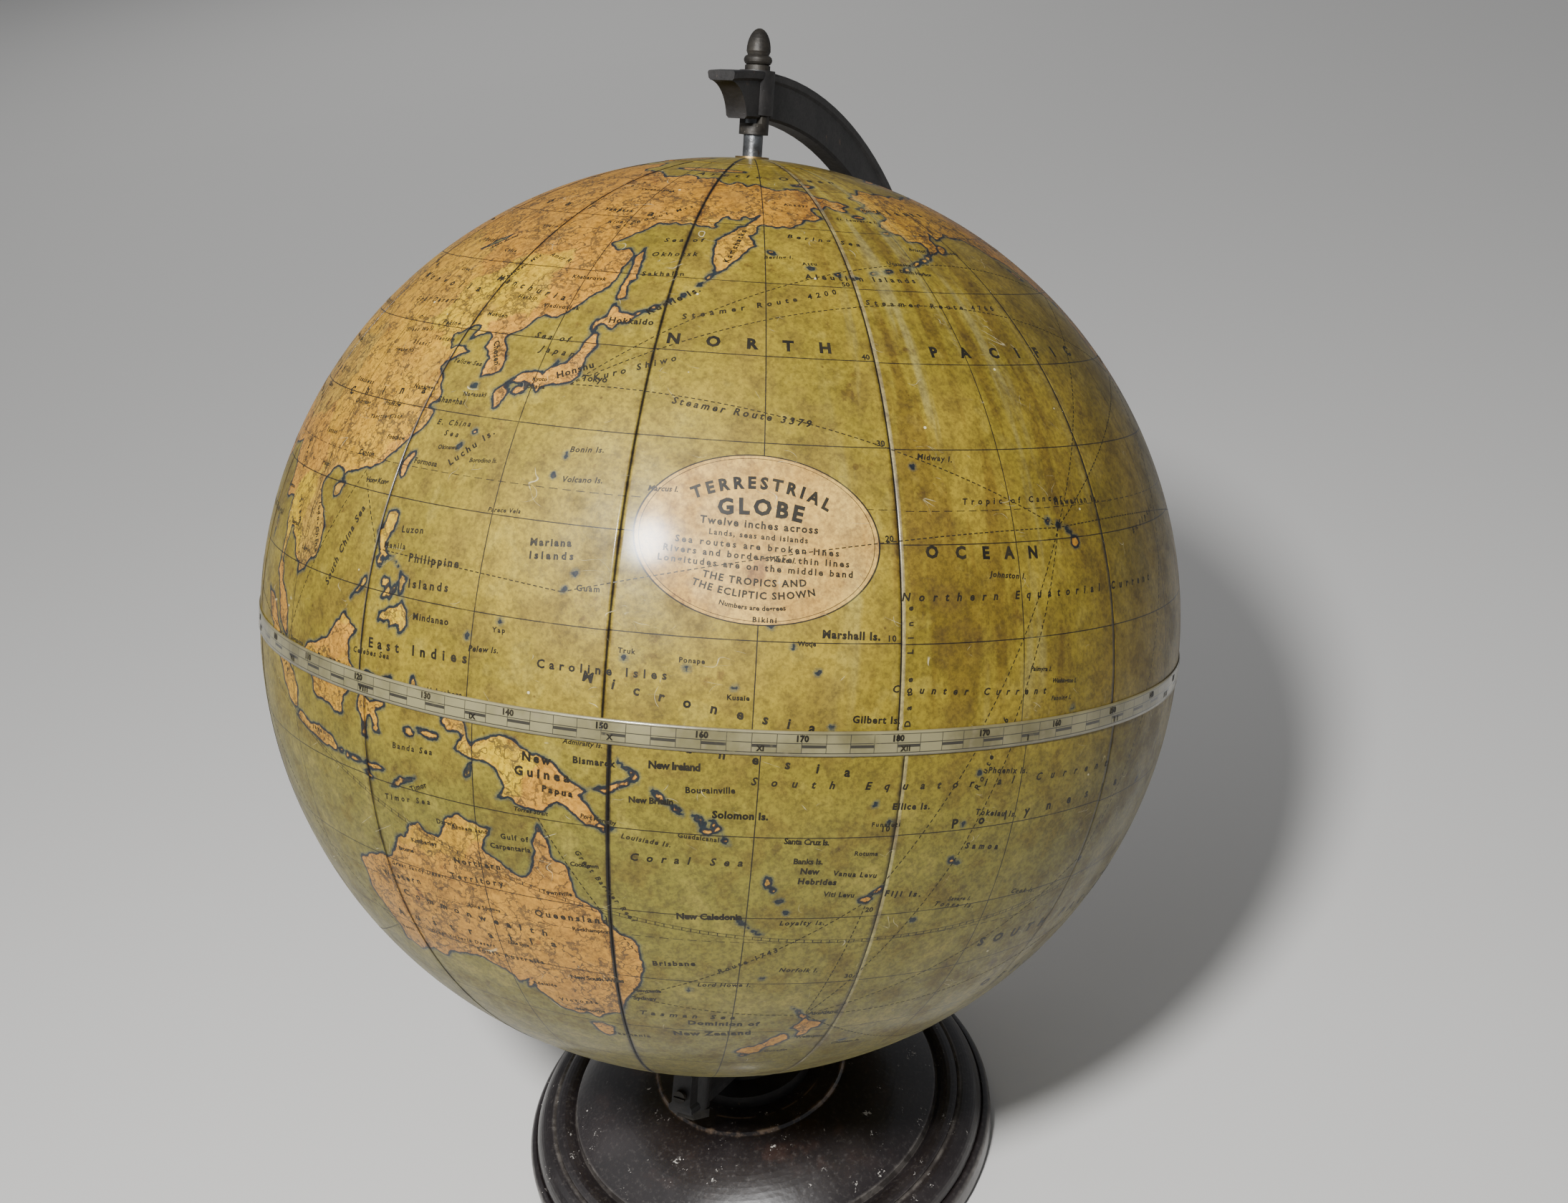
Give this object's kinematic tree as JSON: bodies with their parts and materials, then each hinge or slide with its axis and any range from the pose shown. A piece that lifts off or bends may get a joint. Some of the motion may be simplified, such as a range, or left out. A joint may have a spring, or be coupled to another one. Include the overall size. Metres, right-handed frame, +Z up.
{
  "type": "desktop globe on stand",
  "caption": "Tilted terrestrial globe that turns on a steel axle in a cast semi-meridian arm, on a round turned and weighted plinth.",
  "frame": {"origin": "centre of the round resting face under the plinth", "axes": "+Z up; the arm and the tilted polar axis lie in the YZ plane, and the north pole leans towards +Y"},
  "size_m": [0.3054, 0.3321, 0.3954],
  "materials": {
    "ebonised_wood": "ebonised and waxed, worn to grey on the mouldings",
    "ballast_iron": "raw casting",
    "dark_steel": "dull steel",
    "baize": "green wool baize",
    "japanned_iron": "dark japanned casting, rubbed to brown metal at the nose",
    "dull_metal": "aged bronzed metal, worn on the high places",
    "axle_steel": "bright drawn steel",
    "pole_brass": "tarnished brass",
    "inner_wood": "plain planed softwood",
    "plastered_shell": "papier-mache under a skim of plaster",
    "map_paper": "colour-printed map paper under aged varnish",
    "tape_paper": "printed paper tape under glossy varnish"
  },
  "bodies": {
    "stand": {"base_plinth": "ebonised_wood", "ballast_disc": "ballast_iron", "ballast_screws": "dark_steel", "baize_pad": "baize", "base_bolt": "dark_steel", "base_washer": "dark_steel", "meridian_arm": "japanned_iron", "upper_pivot": "dull_metal", "acorn_finial": "dull_metal", "lower_pivot": "dull_metal", "lower_lock_nut": "dull_metal", "heel_screw": "dull_metal", "thrust_washer": "pole_brass"},
    "globe": {"axle_rod": "axle_steel", "thrust_collar": "axle_steel", "axle_cross_pins": "axle_steel", "core_post": "inner_wood", "pole_block_north": "inner_wood", "pole_block_south": "inner_wood", "pole_ferrule_north": "pole_brass", "pole_ferrule_south": "pole_brass", "equator_hoop": "inner_wood", "shell_north": "plastered_shell", "shell_south": "plastered_shell", "calotte_north": "map_paper", "calotte_south": "map_paper", "equator_tape": "tape_paper", "gore_north_01": "map_paper", "gore_north_02": "map_paper", "gore_north_03": "map_paper", "gore_north_04": "map_paper", "gore_north_05": "map_paper", "gore_north_06": "map_paper", "gore_north_07": "map_paper", "gore_north_08": "map_paper", "gore_north_09": "map_paper", "gore_north_10": "map_paper", "gore_north_11": "map_paper", "gore_north_12": "map_paper", "gore_south_01": "map_paper", "gore_south_02": "map_paper", "gore_south_03": "map_paper", "gore_south_04": "map_paper", "gore_south_05": "map_paper", "gore_south_06": "map_paper", "gore_south_07": "map_paper", "gore_south_08": "map_paper", "gore_south_09": "map_paper", "gore_south_10": "map_paper", "gore_south_11": "map_paper", "gore_south_12": "map_paper"}
  },
  "joints": [
    {"name": "globe_spin", "type": "hinge", "parent": "stand", "child": "globe", "pos_m": [0, 0.032, 0.218], "axis": [0, 0.3987, 0.9171], "continuous": true}
  ]
}
